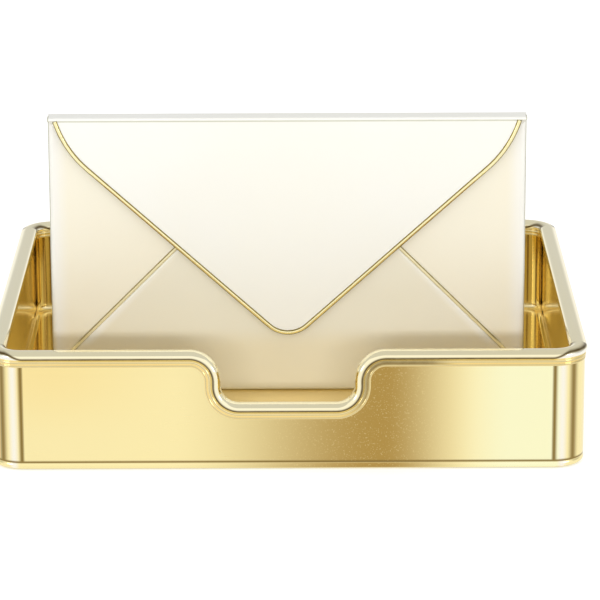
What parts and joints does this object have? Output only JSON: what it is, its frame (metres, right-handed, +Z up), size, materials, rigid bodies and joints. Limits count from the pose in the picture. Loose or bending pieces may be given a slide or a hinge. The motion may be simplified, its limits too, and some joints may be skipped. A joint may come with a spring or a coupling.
{
  "type": "letter tray with envelope",
  "caption": "Open desk letter tray in polished gilt metal with a beaded rim and a finger notch in front, and a thick flapped envelope standing in it.",
  "frame": {"origin": "middle of the footprint, on the surface the tray stands on", "axes": "+Z up, the notched front faces -Y, +X to the right seen from the front"},
  "size_m": [0.2672, 0.233, 0.1408],
  "materials": {
    "polished_gilt": "mirror polished gilt",
    "satin_gilt": "satin gilt",
    "plain_plate": "plain matt sheet",
    "screw_steel": "bright zinc",
    "pad_rubber": "matt",
    "pearl_board": "pearly satin",
    "gilt_piping": "polished gilt wire"
  },
  "bodies": {
    "tray": {"outer_shell": "satin_gilt", "liner_pan": "polished_gilt", "rim_channel": "polished_gilt", "rim_bead": "polished_gilt", "base_plate": "plain_plate", "floor_posts": "plain_plate", "base_screws": "screw_steel", "foot_pads": "pad_rubber"},
    "envelope": {"envelope_back_panel": "pearl_board", "envelope_left_side_flap": "pearl_board", "envelope_right_side_flap": "pearl_board", "envelope_bottom_flap": "pearl_board", "envelope_left_seam_bead": "gilt_piping", "envelope_right_seam_bead": "gilt_piping"},
    "flap": {"envelope_top_flap": "pearl_board", "flap_edge_bead": "gilt_piping"}
  },
  "joints": [
    {"name": "envelope_lift", "type": "slide", "parent": "tray", "child": "envelope", "axis": [0, 0, 1], "range_m": [0, 0.14]},
    {"name": "flap_opening", "type": "hinge", "parent": "envelope", "child": "flap", "pos_m": [0, -0.0184, 0.13925], "axis": [-1, 0, 0], "range_deg": [0, 180]}
  ]
}
